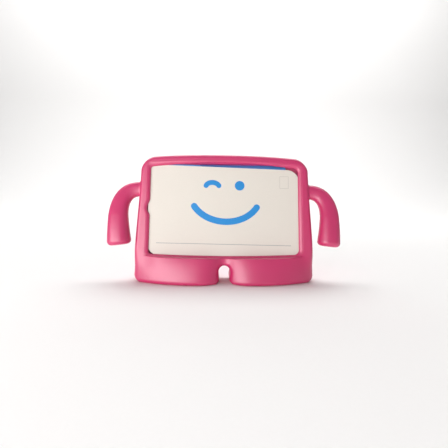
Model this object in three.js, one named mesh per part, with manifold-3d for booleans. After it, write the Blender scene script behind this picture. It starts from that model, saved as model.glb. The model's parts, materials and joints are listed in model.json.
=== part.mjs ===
// A child's tablet case moulded in one piece. A thick padded frame holds the tablet behind its lip,
// two arms hang from the sides as handles, and two broad feet let it stand leaning back a little.
// A folded display card lies in the pocket in the tablet's place.
//
// Millimetres, +Z up, the screen faces -Y. Most shapes are drawn in the screen's own axes: u to the
// right, v up along the screen and w out of it, from the middle of the window on the lip's face.

import * as THREE from 'three';
import { ConvexGeometry } from 'three/addons/geometries/ConvexGeometry.js';
import { ParametricGeometry } from 'three/addons/geometries/ParametricGeometry.js';
import { mergeVertices } from 'three/addons/utils/BufferGeometryUtils.js';
import Module from 'manifold-3d';

// Stance
const leanDegrees = 8;
const screenCentreHeight = 112.3;

// Tablet and its pocket
const tabletWidth = 245.2;
const tabletHeight = 149.4;
const tabletThickness = 7.5;
const tabletCornerRadius = 9;
const pocketClearance = 0.4;

// Padded frame
const frameThickness = 22;
const frameTopHalfWidth = 135.9;
const frameBaseHalfWidth = 139.7;
const frameCrownHeight = 90;
const frameCrownDrop = 3.8;
const frameCornerRadius = 22;
const frameEdgeRadius = 6;
const sideSwell = 0.8;

// Lip and window
const lipThickness = 4;
const lipSideCover = 5;
const lipCornerCover = 6.4;
const windowTopBow = 5.1;
const windowBottomBow = 3.3;
const windowCornerRadius = 6;
const windowBevelWidth = 4.6;
const windowBevelDepth = 3.3;

// Scallop in the lip over the tablet's front camera
const scallopLength = 24;
const scallopDepth = 3.4;
const scallopRamp = 6;

// Feet
const footTopHeight = 36;
const footSideFlare = 0.3;
const footEdgeRadius = 6.5;
const toeReach = 20.5;
const toeCrestOut = 50;
const toeValleyReach = 4.5;
const toeCornerWidth = 9.5;
const toeCornerReach = 2;
const toeCornerDepth = 9;
const toeRiseOut = 12;
const heelReach = 20;
const heelCrestOut = 40;
const heelRiseOut = 16;
const heelValleyReach = 15;
const heelCornerWidth = 24;

// Notch between the feet
const notchRoofHeight = 26.4;
const notchArchWidth = 21.4;
const notchNeckWidth = 19;
const notchFlareRadius = 4.5;
const notchOffset = -1.5;

// Arms
const armRootHeight = 32.5;
const armRootWidth = 23;
const armRootDepth = 20;
const armRootBury = 10;
const armReach = 30;
const armDrop = 87.4;
const armForward = 11;
const handInset = 4.2;
const armElbowShare = 0.5;
const handWidth = 34;
const handDepth = 33;
const handEdgeRadius = 5.5;

// Openings for the tablet's own controls
const cameraHoleDiameter = 16;
const cameraInsetSide = 16;
const cameraInsetTop = 16;
const cameraFlareWidth = 2.5;
const cutOverrun = 1;
const portLength = 15;
const portWidth = 6.6;
const portDrop = 12;
const buttonSlotLength = 52;
const buttonSlotWidth = 6.6;
const buttonSlotInset = 66;
const slotEndRadius = 3;

// Display card
const cardWidth = 239;
const cardHeight = 140.4;
const cardCornerRadius = 15;
const cardThickness = 0.8;
const cardTurnDegrees = -1.2;
const cardShiftDown = 2.5;
const cardClearance = 0.3;

// Facets along one curve, round an edge and round an arm
const curveSteps = 10;
const cornerSteps = 5;
const edgeSteps = 4;
const armAround = 24;
const armSteps = 18;

// Places that follow from the sizes
const lean = THREE.MathUtils.degToRad(leanDegrees);
const pocketHalfWidth = tabletWidth / 2 + pocketClearance;
const pocketHalfHeight = tabletHeight / 2 + pocketClearance;
const pocketFloor = -lipThickness - tabletThickness - pocketClearance;
const pocketMiddle = (pocketFloor - lipThickness) / 2;
const windowHalfWidth = pocketHalfWidth - lipSideCover;
const windowHalfHeight = pocketHalfHeight - lipCornerCover;
const footHalfWidth = frameBaseHalfWidth + footSideFlare;
const soleLine = -screenCentreHeight / Math.cos(lean);
const footTopLine = soleLine + footTopHeight / Math.cos(lean);
const beyond = 2 * frameThickness;

const wasm = await Module();
wasm.setup();

// A closed geometry as a solid: shared corners merged, triangles without area left out
function solid(geometry) {
  const bare = new THREE.BufferGeometry();
  bare.setAttribute('position', geometry.getAttribute('position'));
  bare.setIndex(geometry.getIndex());
  const merged = mergeVertices(bare, 1e-4);
  const index = merged.getIndex().array;
  const triangles = [];
  for (let i = 0; i < index.length; i += 3) {
    const [a, b, c] = index.subarray(i, i + 3);
    if (a !== b && b !== c && c !== a) {
      triangles.push(a, b, c);
    }
  }
  const vertProperties = new Float32Array(merged.getAttribute('position').array);
  const triVerts = new Uint32Array(triangles);
  return new wasm.Manifold(new wasm.Mesh({ numProp: 3, vertProperties, triVerts }));
}

// A solid's surface as a geometry
function surface(body) {
  const mesh = body.getMesh();
  const geometry = new THREE.BufferGeometry();
  geometry.setAttribute('position', new THREE.BufferAttribute(new Float32Array(mesh.vertProperties), 3));
  geometry.setIndex(new THREE.BufferAttribute(new Uint32Array(mesh.triVerts), 1));
  geometry.computeVertexNormals();
  return geometry;
}

// A closed shape from its right half, which runs from the middle line to the middle line
function mirrored(half, steps = curveSteps) {
  const right = half.getPoints(steps);
  const left = right.slice(1, -1).reverse();
  return new THREE.Shape([...right, ...left.map((point) => new THREE.Vector2(-point.x, point.y))]);
}

// A flat shape pulled out along w, from low to high
function slab(shape, low, high) {
  const options = { depth: high - low, bevelEnabled: false, curveSegments: cornerSteps };
  return new THREE.ExtrudeGeometry(shape, options).translate(0, 0, low);
}

// The same with its edges rounded inside the outline
function roundedSlab(shape, low, high, radius) {
  const options = {
    depth: high - low - 2 * radius,
    bevelThickness: radius,
    bevelSize: radius,
    bevelOffset: -radius,
    bevelSegments: edgeSteps,
    curveSegments: cornerSteps,
  };
  return new THREE.ExtrudeGeometry(shape, options).translate(0, 0, low + radius);
}

// A rectangle with round corners, centred
function roundedRectangle(halfWidth, halfHeight, radius) {
  const shape = new THREE.Shape();
  shape.absarc(halfWidth - radius, -halfHeight + radius, radius, -Math.PI / 2, 0);
  shape.absarc(halfWidth - radius, halfHeight - radius, radius, 0, Math.PI / 2);
  shape.absarc(-halfWidth + radius, halfHeight - radius, radius, Math.PI / 2, Math.PI);
  shape.absarc(-halfWidth + radius, -halfHeight + radius, radius, Math.PI, 1.5 * Math.PI);
  shape.closePath();
  return shape;
}

// The frame from the front: an arched top and sides that swell towards the feet. Its lower end
// stays hidden inside them.
function frameOutline() {
  const cornerTop = frameCrownHeight - frameCrownDrop;
  const cornerStart = cornerTop - frameCornerRadius;
  const sideStart = footTopLine - 1.5 * footEdgeRadius;
  const hidden = sideStart - 1.5 * frameEdgeRadius;
  const rise = cornerStart - sideStart;
  const half = new THREE.Path();
  half.moveTo(0, hidden);
  half.lineTo(frameBaseHalfWidth - 3 * frameEdgeRadius, hidden);
  half.quadraticCurveTo(frameBaseHalfWidth - frameEdgeRadius / 2, hidden, frameBaseHalfWidth, sideStart);
  half.bezierCurveTo(
    frameBaseHalfWidth + sideSwell, sideStart + rise / 3,
    frameTopHalfWidth + sideSwell, cornerStart - rise / 3,
    frameTopHalfWidth, cornerStart,
  );
  half.bezierCurveTo(
    frameTopHalfWidth, cornerStart + frameCornerRadius / 2,
    frameTopHalfWidth - frameCornerRadius / 2, cornerTop,
    frameTopHalfWidth - frameCornerRadius, cornerTop,
  );
  half.quadraticCurveTo(frameTopHalfWidth / 2, frameCrownHeight, 0, frameCrownHeight);
  return mirrored(half);
}

// The window from the front: straight sides, and long edges that bow outwards
function windowOutline() {
  const start = windowHalfWidth - windowCornerRadius;
  const lowest = -windowHalfHeight - windowBottomBow;
  const cornerTop = windowCornerRadius - windowHalfHeight;
  const half = new THREE.Path();
  half.moveTo(0, lowest);
  half.quadraticCurveTo(start / 2, lowest, start, -windowHalfHeight);
  half.quadraticCurveTo(windowHalfWidth, -windowHalfHeight, windowHalfWidth, cornerTop);
  half.lineTo(windowHalfWidth, windowHalfHeight - windowCornerRadius);
  half.quadraticCurveTo(windowHalfWidth, windowHalfHeight, start, windowHalfHeight);
  half.quadraticCurveTo(start / 2, windowHalfHeight + windowTopBow, 0, windowHalfHeight + windowTopBow);
  return mirrored(half);
}

// The scallop, a shallow trapezium with eased ends that opens into the window
function scallopOutline() {
  const edge = -windowHalfWidth;
  const half = scallopLength / 2;
  const shape = new THREE.Shape();
  shape.moveTo(edge + windowBevelWidth, -half);
  shape.lineTo(edge + windowBevelWidth, half);
  shape.lineTo(edge, half);
  shape.bezierCurveTo(
    edge, half - scallopRamp / 2,
    edge - scallopDepth, half - scallopRamp / 2,
    edge - scallopDepth, half - scallopRamp,
  );
  shape.lineTo(edge - scallopDepth, scallopRamp - half);
  shape.bezierCurveTo(
    edge - scallopDepth, scallopRamp / 2 - half,
    edge, scallopRamp / 2 - half,
    edge, -half,
  );
  return shape;
}

// What opens the lip along an outline: its bevel widens to the full at the lip's face
function lipCutter(outline) {
  const options = {
    depth: beyond,
    bevelThickness: windowBevelDepth,
    bevelSize: windowBevelWidth,
    bevelSegments: 1,
    curveSegments: cornerSteps,
  };
  const bevel = new THREE.ExtrudeGeometry(outline, options);
  return solid(bevel).add(solid(slab(outline, pocketMiddle, beyond)));
}

// Both feet from above, the toes towards -y. Depths are counted square to the lip's face.
function feetOutline() {
  const cornerOut = footHalfWidth - toeCornerWidth;
  const toeSpan = cornerOut - toeCrestOut;
  const heelLine = frameThickness + heelReach;
  const heelOut = footHalfWidth - heelCornerWidth;
  const valleyLine = frameThickness + heelValleyReach;
  const half = new THREE.Path();
  half.moveTo(0, -toeValleyReach);
  half.bezierCurveTo(
    toeRiseOut, -toeValleyReach,
    toeRiseOut, -toeReach,
    toeCrestOut, -toeReach,
  );
  half.bezierCurveTo(
    toeCrestOut + toeSpan / 2, -toeReach,
    cornerOut - toeSpan / 4, -3 * toeCornerReach,
    cornerOut, -toeCornerReach,
  );
  half.quadraticCurveTo(footHalfWidth, 0, footHalfWidth, toeCornerDepth);
  half.lineTo(footHalfWidth, frameThickness);
  half.bezierCurveTo(
    footHalfWidth, heelLine - heelReach / 2,
    footHalfWidth - heelCornerWidth / 3, heelLine,
    heelOut, heelLine,
  );
  half.lineTo(heelCrestOut, heelLine);
  half.bezierCurveTo(
    heelRiseOut, heelLine,
    heelRiseOut, valleyLine,
    0, valleyLine,
  );
  return mirrored(half);
}

// The notch from the front: a round arch over a narrow neck that flares out at the floor
function notchOutline() {
  const archRadius = notchArchWidth / 2;
  const archCentre = soleLine + notchRoofHeight - archRadius;
  const neckTop = soleLine + notchFlareRadius;
  const half = new THREE.Path();
  half.moveTo(0, soleLine - beyond);
  half.lineTo(notchNeckWidth / 2 + notchFlareRadius, soleLine - beyond);
  half.lineTo(notchNeckWidth / 2 + notchFlareRadius, soleLine);
  half.quadraticCurveTo(notchNeckWidth / 2, soleLine, notchNeckWidth / 2, neckTop);
  half.quadraticCurveTo(archRadius, (neckTop + archCentre) / 2, archRadius, archCentre);
  half.absarc(0, archCentre, archRadius, 0, Math.PI / 2);
  return mirrored(half, cornerSteps);
}

// Turns a solid that stands upright on the floor into the screen's axes
function intoScreenAxes(body) {
  const matrix = new THREE.Matrix4().makeRotationX(lean - Math.PI / 2);
  matrix.multiply(new THREE.Matrix4().makeTranslation(0, 0, -screenCentreHeight));
  return body.transform(matrix.elements);
}

// The feet: level soles and tops, and walls that lean back with the screen
function feet() {
  const upright = roundedSlab(feetOutline(), 0, footTopHeight, footEdgeRadius);
  const slant = new THREE.Matrix4().set(
    1, 0, 0, 0,
    0, 1 / Math.cos(lean), Math.tan(lean), -screenCentreHeight * Math.tan(lean),
    0, 0, 1, 0,
    0, 0, 0, 1,
  );
  return intoScreenAxes(solid(upright).transform(slant.elements));
}

// One arm: it leaves the side wall square, bends down, swells into a blunt hand and comes forward
function arm() {
  const wall = frameTopHalfWidth + sideSwell;
  const middle = -frameThickness / 2;
  const elbow = armRootHeight - armElbowShare * armDrop;
  const end = armRootHeight - armDrop;
  const at = (u, v, forward) => new THREE.Vector3(wall + u, v, middle + forward * armForward);
  const route = new THREE.CurvePath();
  route.add(new THREE.LineCurve3(at(-armRootBury, armRootHeight, 0), at(0, armRootHeight, 0)));
  route.add(new THREE.CubicBezierCurve3(
    at(0, armRootHeight, 0),
    at(armReach * 0.75, armRootHeight, 0),
    at(armReach + handInset / 3, (armRootHeight + elbow) / 2, armElbowShare / 2),
    at(armReach, elbow, armElbowShare),
  ));
  route.add(new THREE.QuadraticBezierCurve3(
    at(armReach, elbow, armElbowShare),
    at(armReach - handInset / 3, (elbow + end) / 2, 1 - armElbowShare / 4),
    at(armReach - handInset, end, 1),
  ));
  const length = route.getLength();

  // Each ring has its distance along the route and its share of the full section
  const straight = length - handEdgeRadius;
  const rings = [{ distance: 0, share: 0 }];
  for (let i = 0; i <= armSteps; i += 1) {
    rings.push({ distance: (i / armSteps) * straight, share: 1 });
  }
  for (let i = 1; i <= edgeSteps; i += 1) {
    const angle = (i / edgeSteps) * (Math.PI / 2);
    const inset = handEdgeRadius * (1 - Math.cos(angle));
    const distance = straight + handEdgeRadius * Math.sin(angle);
    rings.push({ distance, share: 1 - (2 * inset) / handWidth });
  }
  rings.push({ distance: length, share: 0 });

  const across = new THREE.Vector3();
  const deep = new THREE.Vector3();
  const out = new THREE.Vector3(0, 0, 1);
  const geometry = new ParametricGeometry((around, along, target) => {
    const ring = rings[Math.round(along * (rings.length - 1))];
    const heading = route.getTangentAt(ring.distance / length);
    across.crossVectors(heading, out).normalize();
    deep.crossVectors(across, heading);
    const swell = Math.max(0, ring.distance - armRootBury) / (length - armRootBury);
    const angle = -2 * Math.PI * around;
    const width = armRootWidth + (handWidth - armRootWidth) * swell;
    const depth = armRootDepth + (handDepth - armRootDepth) * swell;
    target.copy(route.getPointAt(ring.distance / length));
    target.addScaledVector(across, (ring.share * width * Math.cos(angle)) / 2);
    target.addScaledVector(deep, (ring.share * depth * Math.sin(angle)) / 2);
  }, armAround, rings.length - 1);
  return solid(geometry);
}

// The holes behind the lip: the rear camera's, the charging port's and the side buttons'
function controlOpenings() {
  const cameraOut = pocketHalfWidth - cameraInsetSide;
  const cameraUp = pocketHalfHeight - cameraInsetTop;
  const cameraRadius = cameraHoleDiameter / 2;
  const camera = new THREE.LatheGeometry([
    new THREE.Vector2(0, pocketMiddle),
    new THREE.Vector2(cameraRadius, pocketMiddle),
    new THREE.Vector2(cameraRadius, cameraFlareWidth - frameThickness),
    new THREE.Vector2(cameraRadius + cameraFlareWidth + cutOverrun, -frameThickness - cutOverrun),
    new THREE.Vector2(0, -frameThickness - cutOverrun),
  ].reverse(), 4 * cornerSteps);
  camera.rotateX(Math.PI / 2).translate(-cameraOut, cameraUp, 0);

  const wall = footHalfWidth - pocketHalfWidth;
  const portOutline = roundedRectangle(portWidth / 2, portLength / 2, slotEndRadius);
  const port = slab(portOutline, -cutOverrun, wall + cutOverrun);
  port.rotateY(Math.PI / 2).translate(pocketHalfWidth, -portDrop, pocketMiddle);

  const slotOutline = roundedRectangle(buttonSlotLength / 2, buttonSlotWidth / 2, slotEndRadius);
  const buttons = slab(slotOutline, -cutOverrun, beyond);
  buttons.rotateX(-Math.PI / 2).translate(-buttonSlotInset, pocketHalfHeight, pocketMiddle);
  return [camera, port, buttons].map(solid);
}

// The moulded case in the screen's axes
function caseBody() {
  const right = arm();
  let body = solid(roundedSlab(frameOutline(), -frameThickness, 0, frameEdgeRadius));
  body = body.add(feet()).add(right).add(right.mirror([1, 0, 0]));

  const pocket = roundedRectangle(pocketHalfWidth, pocketHalfHeight, tabletCornerRadius);
  body = body.subtract(solid(slab(pocket, pocketFloor, -lipThickness)));
  body = body.subtract(lipCutter(windowOutline())).subtract(lipCutter(scallopOutline()));
  const notch = slab(notchOutline(), -2 * beyond, 2 * beyond).translate(notchOffset, 0, 0);
  body = body.subtract(solid(notch));
  for (const opening of controlOpenings()) {
    body = body.subtract(opening);
  }
  return surface(body);
}

// The display card: a flat face with round corners, and a flap folded back along its top and its
// foot that wedges it between the pocket's walls
function displayCard() {
  const turn = THREE.MathUtils.degToRad(cardTurnDegrees);
  const face = -lipThickness - cardClearance;
  const turned = new THREE.Matrix4().makeRotationZ(turn).setPosition(0, -cardShiftDown, 0);
  const outline = roundedRectangle(cardWidth / 2, cardHeight / 2, cardCornerRadius);
  const sheet = slab(outline, face - cardThickness, face).applyMatrix4(turned);
  let card = solid(sheet);

  const foldHalf = cardWidth / 2 - cardCornerRadius;
  const wall = pocketHalfHeight - cardClearance;
  const rest = pocketFloor + cardClearance;
  for (const end of [1, -1]) {
    const corners = [];
    for (const side of [1, -1]) {
      const fold = new THREE.Vector3(side * foldHalf, (end * cardHeight) / 2, 0).applyMatrix4(turned);
      corners.push(new THREE.Vector3(fold.x, fold.y, face));
      corners.push(new THREE.Vector3(fold.x, fold.y - end * cardThickness, face - cardThickness));
      corners.push(new THREE.Vector3(side * foldHalf, end * wall, rest));
      corners.push(new THREE.Vector3(side * foldHalf, end * (wall - cardThickness), rest));
    }
    card = card.add(solid(new ConvexGeometry(corners)));
  }
  return surface(card);
}

const rubber = new THREE.MeshStandardMaterial({ color: '#d8507d', roughness: 0.6, metalness: 0 });
const board = new THREE.MeshStandardMaterial({ color: '#f4ece1', roughness: 0.5, metalness: 0 });

const caseMesh = new THREE.Mesh(caseBody(), rubber);
caseMesh.name = 'moulded_case';
const cardMesh = new THREE.Mesh(displayCard(), board);
cardMesh.name = 'display_card';

// The screen's axes set up on the floor, leaning back
const leaning = new THREE.Group();
leaning.add(caseMesh, cardMesh);
leaning.rotation.x = Math.PI / 2 - lean;
leaning.position.z = screenCentreHeight;

// The origin is the middle of the box round the whole case, on the floor
const tabletCase = new THREE.Group();
tabletCase.add(leaning);
tabletCase.updateMatrixWorld(true);
const box = new THREE.Box3().setFromObject(tabletCase, true);
leaning.position.y = -(box.min.y + box.max.y) / 2;

export default tabletCase;
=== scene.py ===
import enum
import json
import logging
import math
from dataclasses import dataclass, field

import bpy
import numpy as np
from mathutils import Matrix, Vector

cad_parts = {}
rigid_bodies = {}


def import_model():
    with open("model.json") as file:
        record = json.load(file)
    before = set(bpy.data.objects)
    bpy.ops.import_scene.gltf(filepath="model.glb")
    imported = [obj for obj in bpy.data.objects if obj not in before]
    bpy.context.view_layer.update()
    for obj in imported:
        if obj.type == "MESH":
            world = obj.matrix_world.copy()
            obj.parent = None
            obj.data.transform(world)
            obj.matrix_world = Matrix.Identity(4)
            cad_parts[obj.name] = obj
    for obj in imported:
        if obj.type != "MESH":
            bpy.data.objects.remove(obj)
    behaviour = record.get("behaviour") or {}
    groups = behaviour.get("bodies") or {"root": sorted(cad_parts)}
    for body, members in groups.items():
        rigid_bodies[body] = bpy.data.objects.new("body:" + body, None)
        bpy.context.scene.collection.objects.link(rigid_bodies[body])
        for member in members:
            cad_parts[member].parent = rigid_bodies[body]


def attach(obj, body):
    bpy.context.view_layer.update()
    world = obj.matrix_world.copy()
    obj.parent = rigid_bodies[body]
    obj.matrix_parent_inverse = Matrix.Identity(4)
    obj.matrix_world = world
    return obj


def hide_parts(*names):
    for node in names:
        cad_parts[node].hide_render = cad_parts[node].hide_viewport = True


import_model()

"""The looks of a child's tablet case, moulded in one soft pink piece.

Everything is drawn in the screen's own axes, in millimetres: u to the right, v up along the screen
and w out of it, from the middle of the window on the face of the lip. Stance turns those points
into the row frame, in metres.
"""

LOG = logging.getLogger("tablet_case")
MM_PER_METRE = 1000.0


# Small numeric helpers


def smoothstep(low: float, high: float, x: np.ndarray) -> np.ndarray:
    """Rises from 0 at low to 1 at high with level ends: 3 t squared less 2 t cubed."""
    t = np.clip((x - low) / (high - low), 0.0, 1.0)
    return t * t * (3.0 - 2.0 * t)


def bezier(points: tuple, count: int) -> np.ndarray:
    """Samples a Bezier curve of any degree, without its last point.

    The curve is the sum over its control points of the binomial weight
    C(n, k) (1 - t)^(n - k) t^k times the point.

    Args:
        points: the control points.
        count: how many samples to take, at even steps of t from 0 and short of 1.

    Returns:
        The samples, count rows.
    """
    t = np.arange(count)[:, None] / count
    control = np.array(points, float)
    degree = len(control) - 1
    weights = [math.comb(degree, k) * (1 - t) ** (degree - k) * t**k for k in range(degree + 1)]
    return sum(w * p for w, p in zip(weights, control))


def arc(centre: tuple, radius: float, start: float, end: float, count: int) -> np.ndarray:
    """Samples a circular arc between two angles in degrees, without its last point."""
    angle = np.radians(start + (end - start) * np.arange(count) / count)
    return np.array(centre) + radius * np.stack([np.cos(angle), np.sin(angle)], axis=1)


def loop_normals(loop: np.ndarray) -> np.ndarray:
    """Outward unit normals of a closed loop that runs anticlockwise.

    Each is the direction from the point before to the point after, turned by a right angle.

    Args:
        loop: the points, in order.

    Returns:
        One normal for each point.
    """
    along = np.roll(loop, -1, axis=0) - np.roll(loop, 1, axis=0)
    normal = np.stack([along[:, 1], -along[:, 0]], axis=1)
    return normal / np.linalg.norm(normal, axis=1, keepdims=True)


def at_depth(flat: np.ndarray, depth: float | np.ndarray) -> np.ndarray:
    """Gives points of u and v their w, one for all or one for each point."""
    return np.concatenate([flat, np.broadcast_to(depth, flat.shape[:-1])[..., None]], axis=-1)


def read_off(places: np.ndarray, stations: np.ndarray, rows: np.ndarray) -> np.ndarray:
    """Interpolates the rows of a table linearly between their stations, at each place."""
    return np.stack([np.interp(places, stations, column) for column in rows.T], axis=1)


def grid_quads(rows: int, columns: int, closed: bool = True) -> np.ndarray:
    """The faces of a grid.

    Args:
        rows: how many rows there are.
        columns: how many points each row has.
        closed: whether each row closes on itself as a ring.

    Returns:
        Four point numbers for each face.
    """
    across = np.arange(columns if closed else columns - 1)
    row, column = np.meshgrid(np.arange(rows - 1), across, indexing="ij")
    this, next_row, after = row * columns, (row + 1) * columns, (column + 1) % columns
    quads = [this + column, this + after, next_row + after, next_row + column]
    return np.stack(quads, axis=-1).reshape(-1, 4)


@dataclass(frozen=True)
class Stance:
    """How the screen's axes stand in the row frame."""

    lean: float = math.radians(8.0)  # how far the screen leans back, in radians
    height: float = 112.3  # the height of the window's middle over the floor
    forward: float = 1.047  # the place of the window's middle along the row's Y axis

    def to_row(self, points: np.ndarray) -> np.ndarray:
        """Turns screen points in millimetres into row points in metres.

        Args:
            points: rows of u, v and w.

        Returns:
            Rows of x, y and z.
        """
        u, v, w = np.moveaxis(np.asarray(points, float), -1, 0)
        sine, cosine = math.sin(self.lean), math.cos(self.lean)
        row = [u, v * sine - w * cosine + self.forward, self.height + v * cosine + w * sine]
        return np.stack(row, axis=-1) / MM_PER_METRE

    def direction(self, vector: tuple) -> Vector:
        """Turns a direction in the screen's axes into a unit direction in the row frame."""
        return Vector(self.to_row(vector) - self.to_row((0.0, 0.0, 0.0))).normalized()


STANCE = Stance()


def make_object(name: str, points: np.ndarray, faces: list, smooth: bool) -> bpy.types.Object:
    """Makes a mesh object, linked to the scene.

    Args:
        name: the object's name.
        points: rows of x, y and z in the row frame, in metres.
        faces: arrays of faces, each array with one face a row.
        smooth: whether the faces are shaded smooth.

    Returns:
        The new object.
    """
    sizes = np.concatenate([np.full(len(f), f.shape[1], np.int32) for f in faces])
    corners = np.concatenate([np.asarray(f, np.int32).ravel() for f in faces])
    starts = np.concatenate([[0], np.cumsum(sizes)[:-1]]).astype(np.int32)
    mesh = bpy.data.meshes.new(name)
    mesh.vertices.add(len(points))
    mesh.vertices.foreach_set("co", points.astype(np.float32).ravel())
    mesh.loops.add(len(corners))
    mesh.loops.foreach_set("vertex_index", corners)
    mesh.polygons.add(len(sizes))
    mesh.polygons.foreach_set("loop_start", starts)
    mesh.polygons.foreach_set("loop_total", sizes)
    mesh.polygons.foreach_set("use_smooth", np.full(len(sizes), smooth))
    mesh.update(calc_edges=True)
    mesh.validate()
    piece = bpy.data.objects.new(name, mesh)
    bpy.context.scene.collection.objects.link(piece)
    return piece


def closed_rings(name: str, rings: np.ndarray, smooth: bool = True) -> bpy.types.Object:
    """Makes a closed mesh of a stack of rings, with a face across the first and the last.

    Args:
        name: the object's name.
        rings: an array of rings of screen points, each of the same number of points.
        smooth: whether the faces are shaded smooth.

    Returns:
        The new object.
    """
    rows, columns = rings.shape[:2]
    first = np.arange(columns)[None, ::-1]
    last = (rows - 1) * columns + np.arange(columns)[None, :]
    faces = [grid_quads(rows, columns), first, last]
    return make_object(name, STANCE.to_row(rings.reshape(-1, 3)), faces, smooth)


class Step(enum.Enum):
    """What a boolean step does with the other solid."""

    WELD = "UNION"
    CUT = "DIFFERENCE"


def combine(piece: bpy.types.Object, others: list, step: Step) -> None:
    """Welds other solids to a piece, or cuts them out of it, and removes them.

    Args:
        piece: the object that is changed.
        others: the solids.
        step: whether they are welded or cut.
    """
    for other in others:
        modifier = piece.modifiers.new("step", "BOOLEAN")
        modifier.operation, modifier.solver, modifier.object = step.value, "EXACT", other
        graph = bpy.context.evaluated_depsgraph_get()
        mesh = bpy.data.meshes.new_from_object(piece.evaluated_get(graph))
        piece.modifiers.clear()
        piece.data = mesh
        bpy.data.objects.remove(other)


# Materials


def linear(code: str) -> tuple:
    """Turns an sRGB hex colour into linear red, green, blue and an alpha of 1."""
    # Up to 0.04045 a channel is divided by 12.92, above it is ((c + 0.055) / 1.055) to the 2.4.
    channels = [int(code[i : i + 2], 16) / 255 for i in (1, 3, 5)]
    return (*[c / 12.92 if c <= 0.04045 else ((c + 0.055) / 1.055) ** 2.4 for c in channels], 1.0)


def node(tree: bpy.types.NodeTree, kind: str, settings: dict = None, **links) -> bpy.types.Node:
    """Adds one shader node.

    Args:
        tree: the material's node tree.
        kind: the node's type name.
        settings: properties of the node itself, such as its operation.
        **links: for each input, by its name with underscores for spaces, a value or another
            node's output.

    Returns:
        The new node.
    """
    made = tree.nodes.new(kind)
    for key, value in (settings or {}).items():
        setattr(made, key, value)
    for key, value in links.items():
        socket = made.inputs[key.replace("_", " ")]
        if isinstance(value, bpy.types.NodeSocket):
            tree.links.new(value, socket)
        else:
            socket.default_value = value
    return made


@dataclass(frozen=True)
class Finish:
    """A finish with a faint pattern that keeps its place on the piece."""

    name: str  # the material's name
    colour: str  # its main tone

    def build(self) -> bpy.types.Material:
        """Builds the material.

        Returns:
            The material, with the shader that surface() gives.
        """
        material = bpy.data.materials.new(self.name)
        material.use_nodes = True
        tree = material.node_tree
        tree.nodes.clear()
        shader = self.surface(node(tree, "ShaderNodeTexCoord").outputs["Object"])
        node(tree, "ShaderNodeOutputMaterial", Surface=shader.outputs["BSDF"])
        return material

    def surface(self, place: bpy.types.NodeSocket) -> bpy.types.Node:
        """The shader of the finish, from the piece's own coordinates. Each finish has its own."""
        raise NotImplementedError

    def mottled(self, noise: bpy.types.Node, other: tuple) -> bpy.types.Node:
        """The main tone, turned by a noise towards another one."""
        tones = {"Factor": noise.outputs["Fac"], "A": linear(self.colour), "B": other}
        return node(noise.id_data, "ShaderNodeMix", {"data_type": "RGBA"}, **tones)


@dataclass(frozen=True)
class MouldedFoam(Finish):
    """Soft closed-cell foam with a satin moulded skin.

    The skin gives broad soft highlights with a slightly uneven edge, and the light that enters it
    softens the shadows. The skin's real grain is too fine for a picture and drawn coarser.
    """

    name: str = "satin_foam_pink"  # the material's name
    colour: str = "#d4216a"  # the pigment
    deeper: str = "#cc1d65"  # the pigment where it lies a little thicker
    roughness: float = 0.42  # of the moulded skin
    spread: tuple = (0.04, 0.06)  # how far the roughness goes below and above that
    grain_mm: float = 0.55  # the size of the skin's fine grain
    cloud_mm: float = 38.0  # the size of its faint uneven patches

    def surface(self, place: bpy.types.NodeSocket) -> bpy.types.Node:
        """The skin's shader.

        Args:
            place: the piece's own coordinates.

        Returns:
            The shader node.
        """
        tree, noise = place.id_data, "ShaderNodeTexNoise"
        cloud = node(tree, noise, Vector=place, Scale=MM_PER_METRE / self.cloud_mm, Detail=2.0)
        grain = node(tree, noise, Vector=place, Scale=MM_PER_METRE / self.grain_mm, Detail=3.0)
        height = grain.outputs["Fac"]
        rough = node(
            tree,
            "ShaderNodeMapRange",
            Value=height,
            From_Min=0.3,
            From_Max=0.7,
            To_Min=self.roughness - self.spread[0],
            To_Max=self.roughness + self.spread[1],
        )
        bump = node(tree, "ShaderNodeBump", Height=height, Strength=0.12, Distance=0.00012)
        return node(
            tree,
            "ShaderNodeBsdfPrincipled",
            Base_Color=self.mottled(cloud, linear(self.deeper)).outputs["Result"],
            Roughness=rough.outputs["Result"],
            Normal=bump.outputs["Normal"],
            IOR=1.6,
            Specular_IOR_Level=1.0,
            Subsurface_Weight=0.12,
            Subsurface_Radius=(0.0035, 0.0012, 0.0016),
            Subsurface_Scale=1.0,
        )


@dataclass(frozen=True)
class PaperBoard(Finish):
    """Smooth coated board, plain or printed over.

    The coat gives a nearly matt, even tone, in which the fibres barely show.
    """

    roughness: float = 0.55  # of the surface
    fibre_mm: float = 1.6  # the size of the board's faint fibres
    fibre_tone: float = 0.965  # how bright they are beside the coat

    def surface(self, place: bpy.types.NodeSocket) -> bpy.types.Node:
        """The board's shader.

        Args:
            place: the piece's own coordinates.

        Returns:
            The shader node.
        """
        tree = place.id_data
        stretched = node(tree, "ShaderNodeMapping", Vector=place, Scale=(0.5, 1.0, 1.0))
        way = {"Vector": stretched.outputs["Vector"], "Scale": MM_PER_METRE / self.fibre_mm}
        fibre = node(tree, "ShaderNodeTexNoise", Detail=4.0, **way)
        height = fibre.outputs["Fac"]
        darker = (*[c * self.fibre_tone for c in linear(self.colour)[:3]], 1.0)
        bump = node(tree, "ShaderNodeBump", Height=height, Strength=0.05, Distance=0.00005)
        return node(
            tree,
            "ShaderNodeBsdfPrincipled",
            Base_Color=self.mottled(fibre, darker).outputs["Result"],
            Roughness=self.roughness,
            Normal=bump.outputs["Normal"],
            Specular_IOR_Level=0.35,
        )


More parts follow.
